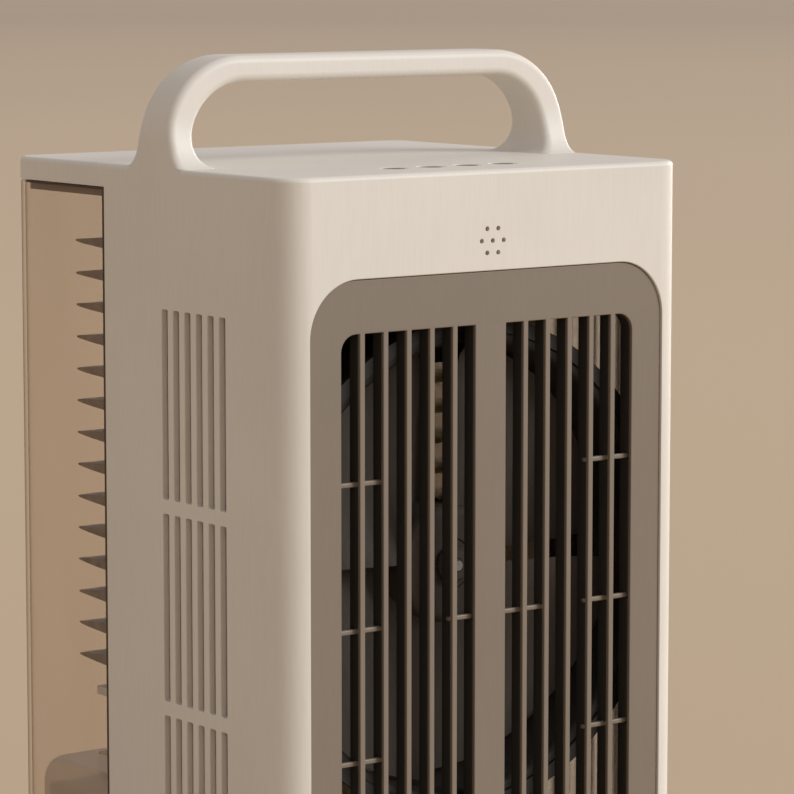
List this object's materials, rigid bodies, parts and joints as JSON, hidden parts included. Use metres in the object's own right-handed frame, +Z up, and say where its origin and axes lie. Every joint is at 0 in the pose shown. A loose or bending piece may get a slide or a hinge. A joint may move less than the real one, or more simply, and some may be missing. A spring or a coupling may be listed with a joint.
{
  "type": "box fan",
  "caption": "Portable box-shaped fan with a barred front grille, a loop carry handle, top buttons, side intake slots and a clear rear module with wick fins over a water tank.",
  "frame": {"origin": "bottom centre of the bounding box, on the surface that the feet stand on", "axes": "+X to the right seen from the front, +Y from the front grille to the rear module, +Z up"},
  "size_m": [0.235, 0.228, 0.459],
  "materials": {
    "cream": "fine matte warm white",
    "taupe": "satin taupe",
    "dark": "matte near-black brown",
    "clear": "clear, warm tint, glossy",
    "tank": "satin grey taupe",
    "wick": "dense felt",
    "steel": "zinc plated",
    "rubber": "matte",
    "board": "solder mask",
    "brass": "plated shell",
    "filter": "woven dust mesh"
  },
  "bodies": {
    "body": {"housing": "cream", "base": "cream", "front_bezel": "taupe", "grille_insert": "dark", "shroud_plate": "dark", "fan_ring": "dark", "motor_bracket": "dark", "fan_motor": "steel", "control_board": "board", "tact_switch_1": "steel", "tact_switch_2": "steel", "tact_switch_3": "steel", "tact_switch_4": "steel", "buzzer": "dark", "driver_board": "board", "power_inlet": "brass", "foot_1": "rubber", "foot_2": "rubber", "foot_3": "rubber", "foot_4": "rubber", "side_filter_left": "filter", "side_filter_right": "filter", "body_seal": "rubber", "inlet_lead": "rubber", "motor_lead": "rubber", "shroud_screw_1": "steel", "shroud_screw_2": "steel", "shroud_screw_3": "steel", "shroud_screw_4": "steel", "base_screw_1": "steel", "base_screw_2": "steel", "base_screw_3": "steel", "base_screw_4": "steel", "motor_screw_1": "steel", "motor_screw_2": "steel", "motor_screw_3": "steel"},
    "impeller_body": {"impeller": "dark", "motor_shaft": "steel", "impeller_nut": "dark"},
    "button_body_1": {"button_1": "cream"},
    "button_body_2": {"button_2": "cream"},
    "button_body_3": {"button_3": "cream"},
    "button_body_4": {"button_4": "cream"},
    "rear_module": {"clear_cover": "clear", "water_tank": "tank", "wick_rack": "cream", "wick_fin_01": "wick", "wick_fin_02": "wick", "wick_fin_03": "wick", "wick_fin_04": "wick", "wick_fin_05": "wick", "wick_fin_06": "wick", "wick_fin_07": "wick", "wick_fin_08": "wick", "wick_fin_09": "wick", "wick_fin_10": "wick", "wick_fin_11": "wick", "wick_fin_12": "wick", "wick_fin_13": "wick", "wick_fin_14": "wick"}
  },
  "joints": [
    {"name": "impeller_spin", "type": "hinge", "parent": "body", "child": "impeller_body", "pos_m": [0, -0.071, 0.221], "axis": [0, 1, 0], "continuous": true},
    {"name": "button_1_press", "type": "slide", "parent": "body", "child": "button_body_1", "axis": [0, 0, -1], "range_m": [0, 0.0009], "stiffness_N_per_m": 400, "springref_m": -0.0006},
    {"name": "button_2_press", "type": "slide", "parent": "body", "child": "button_body_2", "axis": [0, 0, -1], "range_m": [0, 0.0009], "stiffness_N_per_m": 400, "springref_m": -0.0006},
    {"name": "button_3_press", "type": "slide", "parent": "body", "child": "button_body_3", "axis": [0, 0, -1], "range_m": [0, 0.0009], "stiffness_N_per_m": 400, "springref_m": -0.0006},
    {"name": "button_4_press", "type": "slide", "parent": "body", "child": "button_body_4", "axis": [0, 0, -1], "range_m": [0, 0.0009], "stiffness_N_per_m": 400, "springref_m": -0.0006},
    {"name": "module_slide", "type": "slide", "parent": "body", "child": "rear_module", "axis": [0, 1, 0], "range_m": [0, 0.075]}
  ]
}
